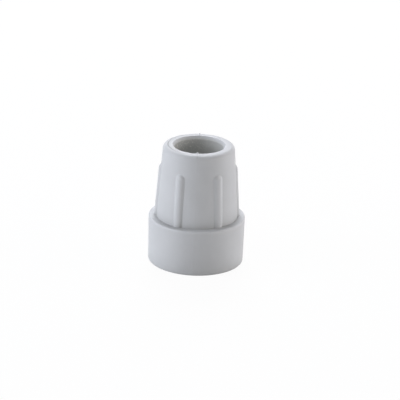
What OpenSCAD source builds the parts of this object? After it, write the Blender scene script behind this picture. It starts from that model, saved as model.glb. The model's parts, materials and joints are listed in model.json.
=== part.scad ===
/* [Socket] */
// Diameter of the socket that grips the cane's shaft
socket_d = 20; // [12:0.5:26]
// Depth of the socket, from the rim to its floor
socket_depth = 37.8; // [30:0.1:50]
// Rubber between the socket's floor and the sole
sole_t = 12; // [6:0.1:18]
// Radius in the corner between the socket's wall and its floor
socket_corner_r = 1; // [0.2:0.1:2.5]
// Radial width of the lead-in taper at the mouth
lead_in_w = 0.8; // [0.2:0.05:1.5]
// Depth of the lead-in taper
lead_in_h = 1.2; // [0.4:0.1:4]

/* [Neck] */
// Wall round the socket at the neck's top
neck_top_wall = 4.55; // [4.5:0.05:8]
// Wall round the socket at the neck's foot
neck_foot_wall = 6.6; // [5:0.1:10]
// Radius on the rim's outer edge
rim_r = 2; // [0.3:0.1:3]

/* [Grip ribs] */
// Number of ribs, evenly spaced round the neck
rib_count = 6; // [3:1:8]
// Radius of a rib's rounded section and of its ball-shaped upper end
rib_r = 2.5; // [2:0.1:4.5]
// How far a rib stands out of the neck
rib_h = 0.88; // [0.3:0.02:1.2]
// Distance from the rim down to a rib's upper end
rib_gap = 8.4; // [3:0.1:12]

/* [Foot] */
// Height of the foot, from the sole to the shoulder
foot_h = 19.3; // [15:0.1:26]
// Width of the shoulder, from the neck to the foot's edge
shoulder_w = 3.2; // [2.5:0.05:8]
// Radius on the shoulder's edge
shoulder_r = 0.9; // [0.3:0.05:2]
// How much the foot's radius shrinks from the shoulder down to the sole
foot_draft = 0.25; // [0:0.05:1]
// Radius on the sole's edge
sole_r = 0.6; // [0.2:0.1:2]

/* [Tread] */
// Plain band between the sole's edge and the outermost ring groove
tread_land = 3.2; // [2.2:0.1:6]
// Spacing of the ring grooves, from centre to centre
groove_pitch = 4.2; // [3.5:0.1:7]
// Width of a ring groove at the sole's face
groove_w = 2; // [1.2:0.1:2.8]
// Depth of a ring groove
groove_depth = 1.2; // [0.4:0.1:2.5]
// How far each wall of a ring groove leans in, from the face to the groove's floor
groove_lean = 0.25; // [0:0.05:0.4]
// Least diameter of the plain pad in the middle of the sole
pad_d = 3; // [2:0.5:12]

/* [Hidden] */
$fn = 96;

height = sole_t + socket_depth;
socket_radius = socket_d / 2;
neck_top_radius = socket_radius + neck_top_wall;
neck_foot_radius = socket_radius + neck_foot_wall;
foot_radius = neck_foot_radius + shoulder_w;
sole_radius = foot_radius - foot_draft;
neck_lean = atan((neck_foot_radius - neck_top_radius) / (height - foot_h));

// How far cutters run past the faces that they open
past = 1;
// How far each rib runs on down inside the foot
rib_root = 2;
// How far a rounding's arc stands past both sides of its corner, so that it crosses them cleanly
hair = 0.001;

function unit(v) = v / norm(v);

// Rounds one convex corner of the outline in children(). The outline runs towards corner from
// before, and leaves it towards after.
module rounded_corner(corner, before, after, r) {
    back = unit(before - corner);
    ahead = unit(after - corner);
    inward = unit(back + ahead);
    half_angle = acos(back * ahead) / 2;
    centre = corner + inward * r / sin(half_angle);
    reach = r / tan(half_angle);
    difference() {
        children();
        difference() {
            polygon([corner + back * reach, corner - inward * r, corner + ahead * reach, centre]);
            translate(centre) circle(r + hair);
        }
    }
}

// Section of one ring groove in the sole, on a circle of radius r
module groove_section(r) {
    face_half_w = groove_w / 2;
    floor_half_w = face_half_w - groove_lean;
    polygon([
        [r - face_half_w, -past], [r + face_half_w, -past], [r + face_half_w, 0],
        [r + floor_half_w, groove_depth], [r - floor_half_w, groove_depth], [r - face_half_w, 0]
    ]);
}

// Half section of the tip without its ribs, before the socket is cut
module body_section() {
    sole_edge = [sole_radius, 0];
    shoulder_edge = [foot_radius, foot_h];
    crease = [neck_foot_radius, foot_h];
    rim_edge = [neck_top_radius, height];
    outer_groove = sole_radius - tread_land - groove_w / 2;
    inner_groove = (pad_d + groove_w) / 2;
    difference() {
        rounded_corner(sole_edge, [0, 0], shoulder_edge, sole_r)
        rounded_corner(shoulder_edge, sole_edge, crease, shoulder_r)
        rounded_corner(rim_edge, crease, [0, height], rim_r)
        polygon([[0, 0], sole_edge, shoulder_edge, crease, rim_edge, [0, height]]);
        for (r = [outer_groove : -groove_pitch : inner_groove]) groove_section(r);
    }
}

// One rib on the +X side: a rod laid along the neck's taper, with a ball at its upper end
module rib() {
    half_width = sqrt(pow(rib_r, 2) - pow(rib_r - rib_h, 2));
    ball_z = height - rib_gap - half_width * cos(neck_lean);
    neck_radius = neck_foot_radius - (ball_z - foot_h) * tan(neck_lean);
    rod_l = (ball_z - foot_h + rib_root) / cos(neck_lean);
    translate([neck_radius, 0, ball_z])
    rotate([0, -neck_lean, 0])
    translate([rib_h - rib_r, 0, 0]) {
        sphere(rib_r);
        translate([0, 0, -rod_l]) cylinder(h = rod_l, r = rib_r);
    }
}

// The shaft's socket, with its lead-in taper at the mouth
module socket_cutter() {
    floor_corner = [socket_radius, sole_t];
    wall_top = [socket_radius, height - lead_in_h];
    mouth_radius = socket_radius + lead_in_w;
    rotate_extrude()
    rounded_corner(floor_corner, [0, sole_t], wall_top, socket_corner_r)
    polygon([
        [0, sole_t], floor_corner, wall_top, [mouth_radius, height],
        [mouth_radius, height + past], [0, height + past]
    ]);
}

module rubber_tip() {
    color([0.73, 0.735, 0.745])
    difference() {
        union() {
            // The turned body's seam line lies halfway between two ribs
            rotate([0, 0, 180 / rib_count]) rotate_extrude() body_section();
            for (i = [0 : rib_count - 1]) rotate([0, 0, i * 360 / rib_count]) rib();
        }
        socket_cutter();
    }
}

rubber_tip();
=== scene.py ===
"""A moulded rubber tip for the end of a cane, standing in a plain white studio."""

import json
import logging
import math
from dataclasses import dataclass
from enum import Enum, IntEnum

import bpy
import numpy as np
from mathutils import Matrix, Vector


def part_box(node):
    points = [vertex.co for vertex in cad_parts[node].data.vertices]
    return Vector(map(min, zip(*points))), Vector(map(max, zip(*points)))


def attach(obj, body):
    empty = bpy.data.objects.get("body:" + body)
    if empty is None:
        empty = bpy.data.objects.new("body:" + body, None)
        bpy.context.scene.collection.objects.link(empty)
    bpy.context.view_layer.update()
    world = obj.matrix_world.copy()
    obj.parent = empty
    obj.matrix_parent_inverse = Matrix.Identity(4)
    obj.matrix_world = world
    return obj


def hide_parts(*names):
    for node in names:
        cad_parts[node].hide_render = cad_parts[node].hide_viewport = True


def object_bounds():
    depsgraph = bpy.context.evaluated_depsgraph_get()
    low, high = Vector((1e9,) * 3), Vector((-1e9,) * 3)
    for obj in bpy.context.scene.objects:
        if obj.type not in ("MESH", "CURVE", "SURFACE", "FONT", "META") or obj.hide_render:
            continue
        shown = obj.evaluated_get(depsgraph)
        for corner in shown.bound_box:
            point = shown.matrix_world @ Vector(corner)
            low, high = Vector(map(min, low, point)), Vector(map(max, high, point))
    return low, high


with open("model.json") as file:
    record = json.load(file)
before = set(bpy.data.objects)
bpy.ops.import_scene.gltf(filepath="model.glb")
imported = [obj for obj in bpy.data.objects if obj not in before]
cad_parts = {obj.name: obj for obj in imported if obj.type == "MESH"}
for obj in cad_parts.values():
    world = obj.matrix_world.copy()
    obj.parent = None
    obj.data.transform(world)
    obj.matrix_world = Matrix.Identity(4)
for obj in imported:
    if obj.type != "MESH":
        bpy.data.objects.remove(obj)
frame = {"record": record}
cad_low, cad_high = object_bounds()

MM = 0.001
TINY = 1e-6
# Stands in for the distance to a surface that a ray misses
MISSED = -1e3
PIECE = "moulded_tip"
FLOOR = "studio_floor"
NODE = "rubber_tip"

Colour = tuple[float, float, float]
Span = tuple[float, float]
Feed = bpy.types.NodeSocket | Colour | float

log = logging.getLogger("cane_tip")


class Place(IntEnum):
    """The stretches of the tip's half section, from the socket's floor to the sole's middle."""

    SOCKET = 0
    LEAD_IN = 1
    RIM = 2
    NECK = 3
    SHOULDER = 4
    FOOT = 5
    SOLE = 6


class Mark(Enum):
    """What marks the rubber, painted shade among them. Each value names the mesh attribute that
    carries its share.
    """

    SOCKET = "socket"
    # Painted shade: darkening in the crease, by the rib roots, in the rim's line, along the seams
    # and low on the foot
    PAINTED_SHADE = "grime"
    RUBBED = "rubbed"
    SCUFFED = "scuffed"


def unit(vector: np.ndarray) -> np.ndarray:
    """Returns the vector at a length of one."""
    return vector / np.linalg.norm(vector)


def outward(run: np.ndarray) -> np.ndarray:
    """Returns the normal to the left of the outline's run, which points out of the rubber."""
    return np.array([-run[1], run[0]])


def bump(distance: np.ndarray, reach: float) -> np.ndarray:
    """Returns 1 where the distance is 0, and falls smoothly to nothing well past the reach."""
    return np.exp(-((distance / reach) ** 2))


def facing(angle: np.ndarray, side: float, focus: int) -> np.ndarray:
    """Returns 1 at a side, given in degrees, and 0 opposite it. A higher focus narrows it."""
    return ((1 + np.cos(angle - math.radians(side))) / 2) ** focus


def wrapped(angle: np.ndarray, pitch: float) -> np.ndarray:
    """Returns the angle brought to within half a pitch of 0."""
    return (angle + pitch / 2) % pitch - pitch / 2


@dataclass(frozen=True)
class Corner:
    """One corner of the half section, with its rounding and the run that follows it (mm)."""

    r: float
    z: float
    place: Place
    blend: float = 0.0
    arc_steps: int = 4
    run_step: float = 2.0


@dataclass(frozen=True)
class Arc:
    """The rounding of one corner: its ends, and the points between them with their normals."""

    start: np.ndarray
    end: np.ndarray
    points: list[tuple[np.ndarray, np.ndarray]]

    @classmethod
    def rounding(
        cls, before: np.ndarray, spot: np.ndarray, after: np.ndarray, blend: float, steps: int
    ) -> "Arc":
        """Rounds a corner with a true arc.

        Args:
            before: The corner before it, as radius and height.
            spot: The corner itself.
            after: The corner after it.
            blend: The arc's radius.
            steps: How many steps the arc is cut into.

        Returns:
            The arc.
        """
        back, ahead = unit(before - spot), unit(after - spot)
        half_angle = math.acos(float(np.clip(back @ ahead, -1, 1))) / 2
        reach = blend / math.tan(half_angle)
        centre = spot + unit(back + ahead) * blend / math.sin(half_angle)
        start = spot + back * reach
        turn = math.copysign(math.pi - 2 * half_angle, back[1] * ahead[0] - back[0] * ahead[1])
        # The normal points away from the centre round an edge, and towards it in a hollow
        side = 1 if turn < 0 else -1
        points = []
        for step in range(1, steps):
            cos, sin = math.cos(turn * step / steps), math.sin(turn * step / steps)
            offset = np.array([[cos, -sin], [sin, cos]]) @ (start - centre)
            points.append((centre + offset, unit(offset) * side))
        return cls(start, spot + ahead * reach, points)


@dataclass(frozen=True)
class Section:
    """The half section's points as columns, ready to meet a row of angles (mm)."""

    r: np.ndarray
    z: np.ndarray
    normal_r: np.ndarray
    normal_z: np.ndarray
    place: np.ndarray

    @classmethod
    def trace(cls, corners: list[Corner]) -> "Section":
        """Turns corners into points, with a true arc at each rounded one and even steps between.

        Args:
            corners: The corners in order. The first and the last lie on the axis and stay sharp.

        Returns:
            The section.
        """
        spots = [np.array([corner.r, corner.z]) for corner in corners]
        points: list[tuple[np.ndarray, np.ndarray, Place]] = []
        leave = spots[0]
        for index in range(1, len(corners)):
            previous, corner = corners[index - 1], corners[index]
            before, spot = spots[index - 1], spots[index]
            arc = Arc(spot, spot, [])
            if corner.blend > 0:
                after = spots[index + 1]
                arc = Arc.rounding(before, spot, after, corner.blend, corner.arc_steps)
            run = arc.start - leave
            normal = outward(unit(spot - before))
            count = max(1, math.ceil(float(np.linalg.norm(run)) / previous.run_step))
            for step in range(count + 1):
                points.append((leave + run * step / count, normal, previous.place))
            points += [(point, bent, corner.place) for point, bent in arc.points]
            leave = arc.end
        return cls.gather(points)

    @classmethod
    def gather(cls, points: list[tuple[np.ndarray, np.ndarray, Place]]) -> "Section":
        """Lines up the points, without repeated ones and without those on the axis.

        Args:
            points: Each point's radius and height, its outward direction and its place.

        Returns:
            The section.
        """
        table = np.array([[*point, *normal, place] for point, normal, place in points])
        moved = np.hypot(np.diff(table[:, 0]), np.diff(table[:, 1])) > TINY
        keep = np.concatenate([[True], moved]) & (table[:, 0] > TINY)
        return cls(*(column[:, None] for column in table[keep].T))


@dataclass(frozen=True)
class Ribs:
    """The raised grip ribs: rods laid along the neck's taper, each with a ball on top (mm)."""

    count: int = 6
    radius: float = 2.5
    height: float = 0.8
    gap: float = 8.4
    root_fillet: float = 0.3

    @property
    def half_width(self) -> float:
        """Half a rib's width where it leaves the neck."""
        return math.sqrt(self.radius**2 - (self.radius - self.height) ** 2)

    @property
    def angles(self) -> np.ndarray:
        """The angle of each rib's middle, in degrees from +X."""
        return np.arange(self.count) * 360.0 / self.count


@dataclass(frozen=True)
class Nub:
    """A small nub of flash that stands on the rim, at the end of a seam (mm)."""

    from_mouth: float
    height: float
    half_width: float
    length: float


@dataclass(frozen=True)
class Seam:
    """A fine raised line where the mould's halves met, with its nub of flash (degrees and mm)."""

    angle: float
    nub: Nub
    half_width: float = 0.16
    height: float = 0.03
    rim_height: float = 0.05


@dataclass(frozen=True)
class Rim:
    """The mould's witness line round the rim, and the mouth's uneven edge (mm and degrees)."""

    line_half_width: float = 0.18
    line_depth: float = 0.16
    # The side where the line is deepest and where its painted shade is darkest
    line_side: float = 187.0
    line_focus: int = 5
    line_least: float = 0.12
    edge_reach: float = 0.45
    edge_swing: float = 0.035
    edge_waves: tuple[int, ...] = (5, 9, 14, 23, 37)
    edge_wave_sizes: Span = (0.6, 1.0)
    seed: int = 7

    def line_share(self, angle: np.ndarray) -> np.ndarray:
        """Returns how deep the witness line is at each angle, as a share of its full depth."""
        side = facing(angle, self.line_side, self.line_focus)
        return self.line_least + (1 - self.line_least) * side

    def unevenness(self, angle: np.ndarray) -> np.ndarray:
        """Adds up waves of the mouth's edge, each with its own size and start.

        Args:
            angle: Angles round the axis, in radians.

        Returns:
            How far the edge strays outwards at each angle, in millimetres.
        """
        draw = np.random.default_rng(self.seed)
        stray = np.zeros_like(angle)
        for wave in self.edge_waves:
            start = draw.uniform(0, 2 * math.pi)
            stray += np.sin(wave * angle + start) * draw.uniform(*self.edge_wave_sizes)
        return stray * self.edge_swing / math.sqrt(len(self.edge_waves) / 2)


@dataclass(frozen=True)
class Wear:
    """Where shade is painted, and how dust and handling mark the rubber (mm, degrees, and shares
    from 0 to 1).
    """

    # Painted shade: how strong it is and how far it reaches in the crease, by the rib roots, in the
    # rim's line, along the seams and low on the foot
    crease_shade: float = 0.3
    crease_reach: float = 1.2
    rib_root_shade: float = 0.25
    rib_root_rise: float = 0.12
    rib_reach: float = 6.0
    line_shade: float = 0.6
    seam_shade: float = 0.3
    sole_shade: float = 0.25
    sole_reach: float = 1.8
    mouth_rub_reach: float = 0.5
    shoulder_rub_reach: float = 0.8
    scuff_side: float = 212.0
    scuff_focus: int = 4
    scuff_reach: float = 0.9
    dust_side: float = 140.0
    dust_focus: int = 3
    dust_depth: float = 3.5
    dust_spread: float = 3.0


@dataclass(frozen=True)
class Fineness:
    """How fine the skin's mesh is: extra columns by angle (degrees), and fine bands (mm)."""

    columns: int = 360
    tried_angles: int = 14401
    extra_on_rib: float = 0.8
    extra_at_rib_side: float = 4.5
    extra_at_seam: float = 5.0
    extra_spread: float = 1.1
    past_rib_side: float = 0.9
    below_lead_in: float = 2.5
    above_rib: float = 0.6
    below_ball: float = 0.5
    line_half_widths: int = 3
    steps_in_half_line: int = 3


@dataclass(frozen=True)
class CaneTip:
    """The whole tip as one moulded skin. Sizes are in millimetres.

    The outer size and the socket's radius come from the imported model, and the rest are set here.
    Rounds are the radii of edges, and blends are small radii that only soften a corner.
    """

    height: float
    foot_radius: float
    socket_radius: float
    sole_thickness: float = 12.0
    socket_corner: float = 1.0
    lead_in_width: float = 0.8
    lead_in_height: float = 1.2
    lead_in_blend: float = 0.12
    mouth_round: float = 0.3
    rim_round: float = 2.0
    neck_top_wall: float = 4.6
    neck_foot_wall: float = 6.7
    crease_blend: float = 0.06
    foot_height: float = 19.3
    foot_draft: float = 0.25
    shoulder_round: float = 0.7
    swell: float = 0.03
    swell_below_shoulder: float = 1.4
    swell_reach: float = 2.1
    sole_round: float = 0.6
    tread_land: float = 3.2
    groove_pitch: float = 4.2
    groove_width: float = 2.0
    groove_depth: float = 1.2
    groove_lean: float = 0.25
    groove_blend: float = 0.06
    pad_diameter: float = 3.0
    ribs: Ribs = Ribs()
    seams: tuple[Seam, ...] = (
        Seam(angle=87.2, nub=Nub(from_mouth=2.3, height=0.3, half_width=0.25, length=0.35)),
        Seam(angle=265.3, nub=Nub(from_mouth=0.1, height=0.6, half_width=0.45, length=0.4)),
    )
    rim: Rim = Rim()
    wear: Wear = Wear()
    fineness: Fineness = Fineness()

    @classmethod
    def from_frame(cls) -> "CaneTip":
        """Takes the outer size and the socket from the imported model.

        Returns:
            The tip.
        """
        low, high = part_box(NODE)
        socket = next(m for m in frame["record"]["mounts"] if m["kind"] == "bore")
        return cls(
            height=high.z / MM,
            foot_radius=(high.x - low.x) / 2 / MM,
            socket_radius=socket["dims"]["r_mm"],
        )

    @property
    def neck_top_radius(self) -> float:
        """The neck's radius at the rim."""
        return self.socket_radius + self.neck_top_wall

    @property
    def neck_foot_radius(self) -> float:
        """The neck's radius where it meets the foot."""
        return self.socket_radius + self.neck_foot_wall

    @property
    def mouth_radius(self) -> float:
        """The radius of the mouth's edge."""
        return self.socket_radius + self.lead_in_width

    @property
    def line_radius(self) -> float:
        """The radius of the witness line, where the rim's flat face ends."""
        return self.neck_top_radius - self.rim_round

    @property
    def lean(self) -> float:
        """The angle between the neck's side and the axis, in radians."""
        rise = self.height - self.foot_height
        return math.atan((self.neck_foot_radius - self.neck_top_radius) / rise)

    @property
    def ball_centre(self) -> tuple[float, float]:
        """The radius and height of the ball at a rib's upper end."""
        ball_z = self.height - self.ribs.gap - self.ribs.half_width * math.cos(self.lean)
        depth = self.ribs.height - self.ribs.radius
        ball_r = self.neck_radius(ball_z) + depth * math.cos(self.lean)
        return ball_r, ball_z + depth * math.sin(self.lean)

    def neck_radius(self, z: np.ndarray | float) -> np.ndarray | float:
        """Returns the plain neck's radius at a height."""
        return self.neck_foot_radius - (z - self.foot_height) * math.tan(self.lean)

    def on_top(self, section: Section) -> np.ndarray:
        """Returns whether each point lies on the rim's upper face or just round its edges."""
        return section.z > self.height - self.rim_round / 2

    def groove_corners(self) -> list[Corner]:
        """Works out the sole's ring grooves.

        Returns:
            Their corners, from the outermost groove inwards.
        """
        corners = []
        face = self.groove_width / 2
        floor = face - self.groove_lean
        middle = self.foot_radius - self.foot_draft - self.tread_land - face
        while middle >= (self.pad_diameter + self.groove_width) / 2:
            for r, z in (
                (middle + face, 0.0),
                (middle + floor, self.groove_depth),
                (middle - floor, self.groove_depth),
                (middle - face, 0.0),
            ):
                corners.append(Corner(r, z, Place.SOLE, self.groove_blend, arc_steps=2))
            middle -= self.groove_pitch
        return corners

    def corners(self) -> list[Corner]:
        """Works out the half section.

        Returns:
            Its corners, from the socket's floor to the sole's middle.
        """
        fine = self.fineness
        top, bore, foot = self.height, self.socket_radius, self.foot_height
        floor = self.sole_thickness
        lead_in = top - self.lead_in_height
        fine_wall = lead_in - fine.below_lead_in
        line = self.line_radius - fine.line_half_widths * self.rim.line_half_width
        line_step = self.rim.line_half_width / fine.steps_in_half_line
        neck_top, neck_foot = self.neck_top_radius, self.neck_foot_radius
        rib_top = top - self.ribs.gap + fine.above_rib
        rib_ball = self.ball_centre[1] - fine.below_ball
        sole = self.foot_radius - self.foot_draft
        return [
            Corner(0, floor, Place.SOCKET),
            Corner(bore, floor, Place.SOCKET, self.socket_corner, arc_steps=5, run_step=2.5),
            Corner(bore, fine_wall, Place.SOCKET, run_step=0.6),
            Corner(bore, lead_in, Place.LEAD_IN, self.lead_in_blend, arc_steps=3, run_step=0.2),
            Corner(self.mouth_radius, top, Place.RIM, self.mouth_round, arc_steps=6, run_step=0.25),
            Corner(line, top, Place.RIM, run_step=line_step),
            Corner(neck_top, top, Place.NECK, self.rim_round, arc_steps=26, run_step=1.2),
            Corner(self.neck_radius(rib_top), rib_top, Place.NECK, run_step=0.12),
            Corner(self.neck_radius(rib_ball), rib_ball, Place.NECK, run_step=1.4),
            Corner(neck_foot, foot, Place.SHOULDER, self.crease_blend, run_step=0.4),
            Corner(
                self.foot_radius, foot, Place.FOOT, self.shoulder_round, arc_steps=12, run_step=0.8
            ),
            Corner(sole, 0, Place.SOLE, self.sole_round, arc_steps=8),
            *self.groove_corners(),
            Corner(0, 0, Place.SOLE),
        ]

    def column_angles(self) -> np.ndarray:
        """Spaces the skin's columns closer on the ribs, and closest at their sides and the seams.

        Returns:
            The columns' angles, in radians.
        """
        fine = self.fineness
        degrees = np.linspace(0, 360, fine.tried_angles)
        seam_angles = np.array([seam.angle for seam in self.seams])
        from_rib = np.abs(wrapped(degrees[:, None] - self.ribs.angles, 360)).min(axis=1)
        from_seam = np.abs(wrapped(degrees[:, None] - seam_angles, 360)).min(axis=1)
        rib_side = math.degrees(self.ribs.half_width / self.neck_radius(self.foot_height))
        rib_side = rib_side + fine.past_rib_side
        density = 1 + fine.extra_on_rib * (from_rib < rib_side)
        density = density + fine.extra_at_rib_side * bump(from_rib - rib_side, fine.extra_spread)
        density = density + fine.extra_at_seam * bump(from_seam, fine.extra_spread)
        passed = np.concatenate([[0], np.cumsum((density[1:] + density[:-1]) / 2)])
        even = np.arange(fine.columns) / fine.columns * passed[-1]
        return np.radians(np.interp(even, passed, degrees))

    def rib_reach(self, z: np.ndarray, angle: np.ndarray) -> np.ndarray:
        """Works out how far a rib's surface lies from the axis, along a level ray.

        Args:
            z: Heights of the rays.
            angle: Angles of the rays from the rib's middle, in radians.

        Returns:
            The distance to the rib's outer side, or MISSED where the ray misses it.
        """
        ball_r, ball_z = self.ball_centre
        rise = z - ball_z
        level = np.cos(angle)
        slope = level * math.sin(self.lean)
        along = -ball_r * math.sin(self.lean) - rise * math.cos(self.lean)
        gap = ball_r**2 + rise**2 - self.ribs.radius**2

        def outer_root(a: np.ndarray, b: np.ndarray, c: np.ndarray) -> np.ndarray:
            """Returns the larger root of a t² - 2 b t + c, or MISSED where there is none."""
            inside = b * b - a * c
            return np.where(inside > 0, (b + np.sqrt(np.maximum(inside, 0))) / a, MISSED)

        rod = outer_root(1 - slope**2, level * ball_r + slope * along, gap - along**2)
        ball = outer_root(np.ones_like(slope), level * ball_r, gap)
        below_ball = rod * slope + along > 0
        return np.where(below_ball, rod, ball)

    def rib_rise(self, section: Section, angle: np.ndarray) -> np.ndarray:
        """Works out how far the ribs lift the surface, with a small fillet along their roots.

        The ribs fade out across the shoulder, before its rounded edge.

        Args:
            section: The half section.
            angle: The columns' angles, in radians.

        Returns:
            The rise in millimetres, measured level, one row for each point of the section.
        """
        z = np.clip(section.z, self.foot_height, self.height)
        from_rib = wrapped(angle[None, :], 2 * math.pi / self.ribs.count)
        over = self.rib_reach(z, from_rib) - self.neck_radius(z)
        fillet = self.ribs.root_fillet
        overlap = np.maximum(fillet - np.abs(over), 0)
        rise = np.maximum(over, 0) + overlap**2 / (4 * fillet)
        flat_end = self.foot_radius - self.shoulder_round
        flat_width = flat_end - self.neck_foot_radius - self.crease_blend
        fade = np.clip((flat_end - section.r) / flat_width, 0, 1)
        on_neck = section.place == Place.NECK
        on_shoulder = section.place == Place.SHOULDER
        return rise * (on_neck + on_shoulder * fade)

    def across_seam(self, section: Section, angle: np.ndarray, seam: Seam) -> np.ndarray:
        """Measures how far each point lies to one side of a seam, round the axis.

        Args:
            section: The half section.
            angle: The columns' angles, in radians.
            seam: The seam.

        Returns:
            The distances in millimetres, one row for each point of the section.
        """
        return wrapped(angle - math.radians(seam.angle), 2 * math.pi)[None, :] * section.r

    def seam_rise(self, section: Section, angle: np.ndarray) -> np.ndarray:
        """Works out how high the seams and their nubs stand.

        Args:
            section: The half section.
            angle: The columns' angles, in radians.

        Returns:
            The heights in millimetres, one row for each point of the section.
        """
        on_face = section.place == Place.RIM
        outside = (section.place >= Place.NECK) & (section.place <= Place.FOOT)
        on_rim = (section.z > self.height - self.rim_round) & (section.place <= Place.NECK)
        rise = np.zeros((len(section.r), len(angle)))
        for seam in self.seams:
            nub = seam.nub
            across = self.across_seam(section, angle, seam)
            line_height = seam.height * outside + seam.rim_height * on_face
            rise = rise + bump(across, seam.half_width) * line_height
            from_nub = section.r - self.mouth_radius - nub.from_mouth
            near = bump(from_nub, nub.length) * on_rim
            rise = rise + bump(across, nub.half_width) * near * nub.height
        return rise

    def witness_line(self, section: Section, angle: np.ndarray) -> np.ndarray:
        """Works out how strongly the rim's witness line shows.

        Args:
            section: The half section.
            angle: The columns' angles, in radians.

        Returns:
            The shares from 0 to 1, one row for each point of the section.
        """
        line = bump(section.r - self.line_radius, self.rim.line_half_width)
        return line * self.on_top(section) * self.rim.line_share(angle)

    def mark_rise(self, section: Section, angle: np.ndarray) -> np.ndarray:
        """Works out the height of the rim's marks and of the foot's swell below the shoulder.

        Args:
            section: The half section.
            angle: The columns' angles, in radians.

        Returns:
            The heights in millimetres, one row for each point of the section.
        """
        line = self.witness_line(section, angle)
        from_mouth = np.hypot(section.r - self.mouth_radius, section.z - self.height)
        edge = bump(from_mouth, self.rim.edge_reach) * self.rim.unevenness(angle)
        from_swell = self.foot_height - self.swell_below_shoulder - section.z
        swell = bump(from_swell, self.swell_reach) * (section.place == Place.FOOT)
        return swell * self.swell - edge - line * self.rim.line_depth

    def grime(self, section: Section, angle: np.ndarray, ribs: np.ndarray) -> np.ndarray:
        """Works out how much shade is painted in the crease, by the ribs, in the lines and low on
        the foot.

        Args:
            section: The half section.
            angle: The columns' angles, in radians.
            ribs: How far the ribs lift each point.

        Returns:
            The amounts, one row for each point of the section.
        """
        wear = self.wear
        above_foot = section.z - self.foot_height
        from_crease = np.hypot(section.r - self.neck_foot_radius, above_foot)
        up_the_flank = ribs / wear.rib_root_rise
        beside_rib = up_the_flank * np.exp(1 - up_the_flank) * (section.place == Place.NECK)
        seams = sum(bump(self.across_seam(section, angle, s), s.half_width) for s in self.seams)
        low_on_foot = np.exp(-section.z / wear.sole_reach) * (section.place >= Place.FOOT)
        # Painted shade, summed from the crease, the rib roots, the rim's line, the seams on the rim
        # and the foot's lower edge
        return (
            wear.crease_shade * np.exp(-from_crease / wear.crease_reach)
            + wear.rib_root_shade * beside_rib * np.exp(-above_foot / wear.rib_reach)
            + wear.line_shade * self.witness_line(section, angle)
            + wear.seam_shade * seams * self.on_top(section)
            + wear.sole_shade * low_on_foot
        )

    def marks(
        self, section: Section, angle: np.ndarray, ribs: np.ndarray
    ) -> dict[Mark, np.ndarray]:
        """Works out how much of each mark shows.

        The socket's finish comes in from halfway down the lead-in, and no shade is painted inside.

        Args:
            section: The half section.
            angle: The columns' angles, in radians.
            ribs: How far the ribs lift each point.

        Returns:
            The shares from 0 to 1, one row for each point of the section.
        """
        wear = self.wear
        inside = section.place <= Place.LEAD_IN
        below_rim = self.height - section.z
        down_lead_in = below_rim / self.lead_in_height
        from_mouth = np.hypot(section.r - self.mouth_radius, below_rim)
        from_shoulder = np.hypot(section.r - self.foot_radius, section.z - self.foot_height)
        rubbed_mouth = bump(from_mouth, wear.mouth_rub_reach)
        rubbed_shoulder = bump(from_shoulder, wear.shoulder_rub_reach)
        scuffed_side = facing(angle, wear.scuff_side, wear.scuff_focus)
        scuffed = bump(from_mouth, wear.scuff_reach) * scuffed_side
        dusty_side = facing(angle, wear.dust_side, wear.dust_focus)
        dusty = bump(below_rim - wear.dust_depth, wear.dust_spread) * dusty_side * inside
        amounts = {
            Mark.SOCKET: inside * (2 * down_lead_in - 1),
            # Painted shade in the crease, by the rib roots, in the rim's line, along the seams and
            # low on the foot
            Mark.PAINTED_SHADE: self.grime(section, angle, ribs) * (1 - inside),
            Mark.RUBBED: rubbed_mouth + rubbed_shoulder,
            Mark.SCUFFED: scuffed + dusty,
        }
        whole = np.ones((1, len(angle)))
        return {mark: np.clip(amount, 0, 1) * whole for mark, amount in amounts.items()}

    def skin(self) -> tuple[np.ndarray, list[list[int]], dict[Mark, np.ndarray]]:
        """Works out the mesh: rings of points, closed by a pole at each end.

        Returns:
            The vertices in metres, the faces as lists of vertex numbers, and each mark's share.
        """
        section = Section.trace(self.corners())
        angle = self.column_angles()
        ribs = self.rib_rise(section, angle)
        rise = self.seam_rise(section, angle) + self.mark_rise(section, angle)
        radius = section.r + ribs + rise * section.normal_r
        height = section.z + rise * section.normal_z
        rings = np.stack([radius * np.cos(angle), radius * np.sin(angle), height], axis=2)
        rows, columns = rings.shape[:2]
        poles = np.array([[0, 0, self.sole_thickness], [0, 0, 0]])
        vertices = np.concatenate([rings.reshape(-1, 3), poles]) * MM
        floor_pole = rows * columns
        sole_pole = floor_pole + 1
        number = np.arange(floor_pole).reshape(rows, columns)
        beside = np.roll(number, -1, axis=1)
        quads = np.stack([number[:-1], number[1:], beside[1:], beside[:-1]], axis=2)
        faces = quads.reshape(-1, 4).tolist()
        faces += [[floor_pole, a, b] for a, b in zip(number[0].tolist(), beside[0].tolist())]
        faces += [[sole_pole, b, a] for a, b in zip(number[-1].tolist(), beside[-1].tolist())]
        shares = {}
        for mark, share in self.marks(section, angle, ribs).items():
            shares[mark] = np.append(share, [mark is Mark.SOCKET, False])
        return vertices, faces, shares

    def build(self, material: bpy.types.Material) -> bpy.types.Object:
        """Builds the skin, dresses it and seats it in the frame.

        Args:
            material: The rubber.

        Returns:
            The finished piece.
        """
        vertices, faces, shares = self.skin()
        mesh = bpy.data.meshes.new(PIECE)
        mesh.from_pydata(vertices.tolist(), [], faces)
        mesh.polygons.foreach_set("use_smooth", [True] * len(mesh.polygons))
        for mark, share in shares.items():
            attribute = mesh.attributes.new(mark.value, "FLOAT", "POINT")
            attribute.data.foreach_set("value", share.astype(np.float32))
        mesh.materials.append(material)
        mesh.validate()
        piece = bpy.data.objects.new(PIECE, mesh)
        bpy.context.scene.collection.objects.link(piece)
        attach(piece, "root")
        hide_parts(NODE)
        log.info("%s: %d vertices, %d faces", piece.name, len(mesh.vertices), len(mesh.polygons))
        return piece


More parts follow.
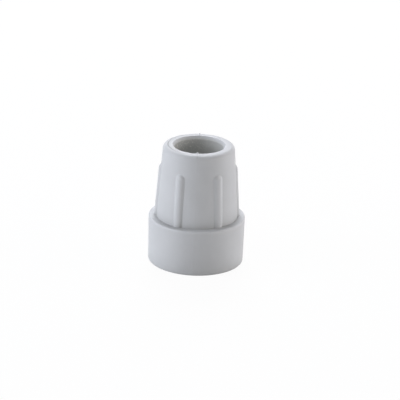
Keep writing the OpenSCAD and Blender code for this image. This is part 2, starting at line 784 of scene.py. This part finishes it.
class Recipe:
    """A material's node tree, with short ways to add the steps that mix its colour and relief."""

    # Several of the Mix node's sockets share a name, so those for colours go by number
    MIX_SHARE, MIX_FIRST, MIX_SECOND, MIX_RESULT = 0, 6, 7, 2

    def __init__(self, name: str) -> None:
        """Starts a material that has only its shader.

        Args:
            name: The material's name.
        """
        self.material = bpy.data.materials.new(name)
        self.material.use_nodes = True
        self.nodes = self.material.node_tree.nodes
        self.links = self.material.node_tree.links
        self.shader = self.nodes["Principled BSDF"]
        self.place = self.nodes.new("ShaderNodeTexCoord").outputs["Object"]

    def put(self, value: Feed, socket: bpy.types.NodeSocket) -> None:
        """Feeds a socket.

        Args:
            value: Another socket, a colour or a number.
            socket: The socket that takes it.
        """
        if isinstance(value, bpy.types.NodeSocket):
            self.links.new(value, socket)
        elif isinstance(value, tuple):
            socket.default_value = (*value, 1.0)
        else:
            socket.default_value = value

    def share(self, mark: Mark) -> bpy.types.NodeSocket:
        """Reads one of the shares that the mesh carries.

        Args:
            mark: The mark.

        Returns:
            Its share, from 0 to 1.
        """
        node = self.nodes.new("ShaderNodeAttribute")
        node.attribute_name = mark.value
        return node.outputs["Fac"]

    def noise(self, size: float, detail: float, draw: float) -> bpy.types.NodeSocket:
        """Makes soft noise.

        Args:
            size: The size of its patches, in millimetres.
            detail: How many finer layers it has.
            draw: Which pattern it shows.

        Returns:
            The noise, between 0 and 1.
        """
        node = self.nodes.new("ShaderNodeTexNoise")
        node.noise_dimensions = "4D"
        self.links.new(self.place, node.inputs["Vector"])
        node.inputs["Scale"].default_value = 1 / (size * MM)
        node.inputs["Detail"].default_value = detail
        node.inputs["W"].default_value = draw
        return node.outputs["Fac"]

    def stretch(
        self, value: bpy.types.NodeSocket, given: Span, wanted: Span
    ) -> bpy.types.NodeSocket:
        """Stretches a value smoothly from one span to another.

        Args:
            value: The value.
            given: The span that it is taken over.
            wanted: The span that the result covers.

        Returns:
            The result.
        """
        node = self.nodes.new("ShaderNodeMapRange")
        node.interpolation_type = "SMOOTHSTEP"
        for name, number in zip(("From Min", "From Max", "To Min", "To Max"), (*given, *wanted)):
            node.inputs[name].default_value = number
        self.links.new(value, node.inputs["Value"])
        return node.outputs["Result"]

    def work_out(self, operation: str, first: Feed, second: Feed) -> bpy.types.NodeSocket:
        """Works out a sum of two numbers.

        Args:
            operation: The shader's name for the sum.
            first: The first number.
            second: The second number.

        Returns:
            The result.
        """
        node = self.nodes.new("ShaderNodeMath")
        node.operation = operation
        self.put(first, node.inputs[0])
        self.put(second, node.inputs[1])
        return node.outputs[0]

    def plus(self, first: Feed, second: Feed) -> bpy.types.NodeSocket:
        """Returns two numbers added."""
        return self.work_out("ADD", first, second)

    def times(self, first: Feed, second: Feed) -> bpy.types.NodeSocket:
        """Returns two numbers multiplied."""
        return self.work_out("MULTIPLY", first, second)

    def mix(self, share: Feed, first: Feed, second: Feed) -> bpy.types.NodeSocket:
        """Mixes two colours.

        Args:
            share: How much of the second colour shows, from 0 to 1.
            first: The first colour.
            second: The second colour.

        Returns:
            The mixed colour.
        """
        node = self.nodes.new("ShaderNodeMix")
        node.data_type = "RGBA"
        self.put(share, node.inputs[self.MIX_SHARE])
        self.put(first, node.inputs[self.MIX_FIRST])
        self.put(second, node.inputs[self.MIX_SECOND])
        return node.outputs[self.MIX_RESULT]

    def relief(self, height: bpy.types.NodeSocket, depth: float) -> None:
        """Gives the surface a fine relief.

        Args:
            height: The relief's height, from 0 to 1.
            depth: The height that 1 stands for, in millimetres.
        """
        node = self.nodes.new("ShaderNodeBump")
        node.inputs["Distance"].default_value = depth * MM
        self.links.new(height, node.inputs["Height"])
        self.links.new(node.outputs["Normal"], self.shader.inputs["Normal"])


@dataclass(frozen=True)
class RubberFinish:
    """Satin grey moulded rubber: a little cloudy, finely grained, marked where it is handled, and
    with shade painted into its crease, lines and rib roots and low on the foot.

    Sizes are in millimetres. A noise span is the stretch of the noise over which a finish goes
    from the first to the second value of its cover, its roughness or its tone.
    """

    light: Colour = (0.498, 0.508, 0.515)
    dark: Colour = (0.474, 0.484, 0.490)
    socket: Colour = (0.478, 0.485, 0.470)
    # Painted shade: the dark colour laid in the crease, by the rib roots, in the rim's line, along
    # the seams and low on the foot
    grime: Colour = (0.235, 0.235, 0.222)
    rubbed: Colour = (0.545, 0.555, 0.566)
    bloom: Colour = (0.800, 0.800, 0.740)
    cloud_size: float = 7.0
    cloud_tone: Span = (0.0, 0.7)
    fleck_size: float = 0.8
    fleck_tone: Span = (0.0, 0.3)
    noise_span: Span = (0.3, 0.7)
    shade_cover: Span = (0.75, 1.0)
    rubbed_noise_span: Span = (0.35, 0.65)
    rubbed_cover: Span = (0.5, 1.0)
    bloom_size: float = 0.7
    bloom_noise_span: Span = (0.53, 0.66)
    bloom_cover: Span = (0.0, 0.8)
    grain_size: float = 0.3
    grain_depth: float = 0.018
    wave_size: float = 4.0
    wave_share: float = 0.6
    roughness: Span = (0.50, 0.60)
    shade_roughness: float = 0.75
    rubbed_roughness: float = 0.46
    specular: float = 0.45

    def build(self) -> bpy.types.Material:
        """Mixes the rubber's colour, gloss and relief.

        Returns:
            The rubber's material.
        """
        recipe = Recipe("grey_rubber")
        shader = recipe.shader
        clouds = recipe.noise(self.cloud_size, detail=3.0, draw=1.0)
        flecks = recipe.noise(self.fleck_size, detail=2.0, draw=2.0)
        grain = recipe.noise(self.grain_size, detail=2.0, draw=3.0)
        waves = recipe.noise(self.wave_size, detail=1.0, draw=4.0)
        specks = recipe.noise(self.bloom_size, detail=3.0, draw=5.0)

        # How far the painted shade covers, broken up a little by the clouds
        shade_cover = recipe.stretch(clouds, self.noise_span, self.shade_cover)
        rubbed_cover = recipe.stretch(clouds, self.rubbed_noise_span, self.rubbed_cover)
        bloom_cover = recipe.stretch(specks, self.bloom_noise_span, self.bloom_cover)
        grime = recipe.times(recipe.share(Mark.PAINTED_SHADE), shade_cover)
        rubbed = recipe.times(recipe.share(Mark.RUBBED), rubbed_cover)
        bloom = recipe.times(recipe.share(Mark.SCUFFED), bloom_cover)

        cloud_tone = recipe.stretch(clouds, self.noise_span, self.cloud_tone)
        fleck_tone = recipe.stretch(flecks, self.noise_span, self.fleck_tone)
        colour = recipe.mix(recipe.plus(cloud_tone, fleck_tone), self.dark, self.light)
        colour = recipe.mix(recipe.share(Mark.SOCKET), colour, self.socket)
        colour = recipe.mix(rubbed, colour, self.rubbed)
        # Painted shade darkens the crease, the rib roots, the rim's line, the seams and the foot's
        # lower edge
        colour = recipe.mix(grime, colour, self.grime)
        colour = recipe.mix(bloom, colour, self.bloom)
        recipe.put(colour, shader.inputs["Base Color"])

        gloss = recipe.stretch(flecks, self.noise_span, self.roughness)
        gloss = recipe.mix(rubbed, gloss, (self.rubbed_roughness,) * 3)
        gloss = recipe.mix(grime, gloss, (self.shade_roughness,) * 3)
        recipe.put(gloss, shader.inputs["Roughness"])
        shader.inputs["Specular IOR Level"].default_value = self.specular

        height = recipe.plus(grain, recipe.times(waves, self.wave_share))
        recipe.relief(height, self.grain_depth)
        return recipe.material


def direction(azimuth: float, elevation: float) -> Vector:
    """Works out the unit vector from the tip towards a viewer or a lamp.

    Args:
        azimuth: Degrees round the axis. 0 is in front, on the -Y side, and 90 is on the +X side.
        elevation: Degrees above the floor.

    Returns:
        The direction.
    """
    a, e = math.radians(azimuth), math.radians(elevation)
    return Vector((math.sin(a) * math.cos(e), -math.cos(a) * math.cos(e), math.sin(e)))


@dataclass(frozen=True)
class Lamp:
    """One large soft lamp that faces the tip (degrees, watts and metres)."""

    name: str
    azimuth: float
    elevation: float
    power: float
    colour: Colour
    distance: float = 1.2
    size: float = 0.8

    def build(self, target: Vector) -> bpy.types.Object:
        """Hangs the lamp and turns it to the target.

        Args:
            target: The point that the lamp faces, in metres.

        Returns:
            The lamp.
        """
        data = bpy.data.lights.new(self.name, "AREA")
        data.shape = "DISK"
        data.size = self.size
        data.energy = self.power
        data.color = self.colour
        lamp = bpy.data.objects.new(self.name, data)
        away = direction(self.azimuth, self.elevation)
        lamp.location = target + away * self.distance
        lamp.rotation_mode = "QUATERNION"
        lamp.rotation_quaternion = away.to_track_quat("Z", "Y")
        bpy.context.scene.collection.objects.link(lamp)
        log.info("%s: %.2f W", self.name, self.power)
        return lamp


@dataclass(frozen=True)
class Studio:
    """The floor, the world and the lamps. The floor's radius is in metres."""

    floor_radius: float = 1.2
    floor_sides: int = 64
    floor_colour: Colour = (0.8, 0.8, 0.8)
    floor_roughness: float = 0.9
    floor_glow: float = 0.95
    world_strength: float = 0.117
    lamps: tuple[Lamp, ...] = (
        Lamp("front_left_high", -45, 45, 1.85, (1.00, 0.97, 0.96)),
        Lamp("front_left_low", -70, 12, 5.93, (0.95, 0.96, 1.00)),
        Lamp("left_low", -90, 12, 5.66, (0.84, 0.89, 1.00)),
        Lamp("left_high", -90, 45, 1.24, (0.71, 0.78, 1.00)),
        Lamp("right_low_back", 110, 12, 2.29, (0.91, 0.88, 1.00)),
        Lamp("back_high", 180, 45, 10.64, (0.92, 0.94, 1.00)),
        Lamp("back_top", 180, 70, 1.81, (0.93, 0.91, 1.00)),
        Lamp("front_right_low", 70, 12, 3.48, (1.00, 0.95, 0.90)),
        Lamp("right_low", 90, 12, 4.92, (1.00, 0.97, 0.97)),
    )

    def seen_share(self, tree: bpy.types.NodeTree) -> bpy.types.NodeSocket:
        """Tells what is seen, straight or by reflection, from the light on other surfaces.

        Args:
            tree: The node tree that asks.

        Returns:
            1 for what is seen, and 0 for the light on other surfaces.
        """
        rays = tree.nodes.new("ShaderNodeLightPath")
        share = rays.outputs["Is Camera Ray"]
        for name in ("Is Glossy Ray", "Is Transmission Ray"):
            either = tree.nodes.new("ShaderNodeMath")
            either.operation = "MAXIMUM"
            tree.links.new(share, either.inputs[0])
            tree.links.new(rays.outputs[name], either.inputs[1])
            share = either.outputs[0]
        return share

    def floor_material(self) -> bpy.types.Material:
        """Mixes a plain pale surface with a glow that shows only where the floor is seen.

        Returns:
            The floor's material.
        """
        material = bpy.data.materials.new(FLOOR)
        material.use_nodes = True
        nodes = material.node_tree.nodes
        links = material.node_tree.links
        shader = nodes["Principled BSDF"]
        shader.inputs["Base Color"].default_value = (*self.floor_colour, 1.0)
        shader.inputs["Roughness"].default_value = self.floor_roughness
        glow = nodes.new("ShaderNodeEmission")
        share = nodes.new("ShaderNodeMath")
        share.operation = "MULTIPLY"
        share.inputs[1].default_value = self.floor_glow
        mix = nodes.new("ShaderNodeMixShader")
        links.new(self.seen_share(material.node_tree), share.inputs[0])
        links.new(share.outputs[0], mix.inputs["Fac"])
        links.new(shader.outputs[0], mix.inputs[1])
        links.new(glow.outputs[0], mix.inputs[2])
        links.new(mix.outputs[0], nodes["Material Output"].inputs["Surface"])
        return material

    def build_floor(self) -> bpy.types.Object:
        """Lays the round floor, which shows as nearly white and takes the tip's shadow.

        Returns:
            The floor.
        """
        mesh = bpy.data.meshes.new(FLOOR)
        turns = [2 * math.pi * side / self.floor_sides for side in range(self.floor_sides)]
        ring = [
            (self.floor_radius * math.cos(turn), self.floor_radius * math.sin(turn), 0)
            for turn in turns
        ]
        mesh.from_pydata(ring, [], [list(range(self.floor_sides))])
        mesh.materials.append(self.floor_material())
        floor = bpy.data.objects.new(FLOOR, mesh)
        bpy.context.scene.collection.objects.link(floor)
        log.info("%s: %.1f m across", floor.name, 2 * self.floor_radius)
        return floor

    def build_world(self) -> bpy.types.World:
        """Makes the world: white where it is seen, and a soft even light on the tip.

        Returns:
            The world.
        """
        world = bpy.data.worlds.new("studio")
        bpy.context.scene.world = world
        world.use_nodes = True
        nodes = world.node_tree.nodes
        links = world.node_tree.links
        background = nodes["Background"]
        background.inputs["Color"].default_value = (1.0, 1.0, 1.0, 1.0)
        strength = nodes.new("ShaderNodeMapRange")
        strength.inputs["To Min"].default_value = self.world_strength
        strength.inputs["To Max"].default_value = 1.0
        links.new(self.seen_share(world.node_tree), strength.inputs["Value"])
        links.new(strength.outputs["Result"], background.inputs["Strength"])
        log.info("%s: strength %.3f", world.name, self.world_strength)
        return world

    def build(self, target: Vector) -> None:
        """Builds the floor, the world and the lamps.

        Args:
            target: The point that the lamps face, in metres.
        """
        self.build_floor()
        self.build_world()
        for lamp in self.lamps:
            lamp.build(target)


@dataclass(frozen=True)
class View:
    """The camera: angles in degrees, lens and sensor in millimetres, and the rest in metres.

    The aim is how far to the right of the view's centre, and above it, the target lies.
    """

    azimuth: float = -2.3
    elevation: float = 21.17
    roll: float = 1.92
    distance: float = 1.0
    lens: float = 219.5
    sensor: float = 36.0
    nearest: float = 0.01
    farthest: float = 20.0
    aim_right: float = -0.001137
    aim_up: float = -0.000719

    def build(self, target: Vector) -> bpy.types.Object:
        """Sets up the camera.

        Args:
            target: The middle of the tip, in metres.

        Returns:
            The camera.
        """
        data = bpy.data.cameras.new("camera")
        data.sensor_width = self.sensor
        data.lens = self.lens
        data.clip_start = self.nearest
        data.clip_end = self.farthest
        camera = bpy.data.objects.new("camera", data)
        away = direction(self.azimuth, self.elevation)
        camera.location = target + away * self.distance
        right = Vector((0, 0, 1)).cross(away).normalized()
        up = away.cross(right)
        aim = target - right * self.aim_right - up * self.aim_up
        back = (camera.location - aim).normalized()
        level = back.to_track_quat("Z", "Y").to_matrix()
        rolled = level @ Matrix.Rotation(math.radians(self.roll), 3, "Z")
        camera.rotation_mode = "QUATERNION"
        camera.rotation_quaternion = rolled.to_quaternion()
        bpy.context.scene.collection.objects.link(camera)
        bpy.context.scene.camera = camera
        log.info("camera: lens %.1f mm", self.lens)
        return camera


def main() -> None:
    """Builds the tip, the studio and the camera, in that order."""
    logging.basicConfig(level=logging.INFO, format="%(message)s")
    bpy.context.scene.view_settings.view_transform = "Standard"
    rubber = RubberFinish().build()
    CaneTip.from_frame().build(rubber)
    middle = (cad_low + cad_high) / 2
    Studio().build(middle)
    View().build(middle)


if __name__ == "__main__":
    main()
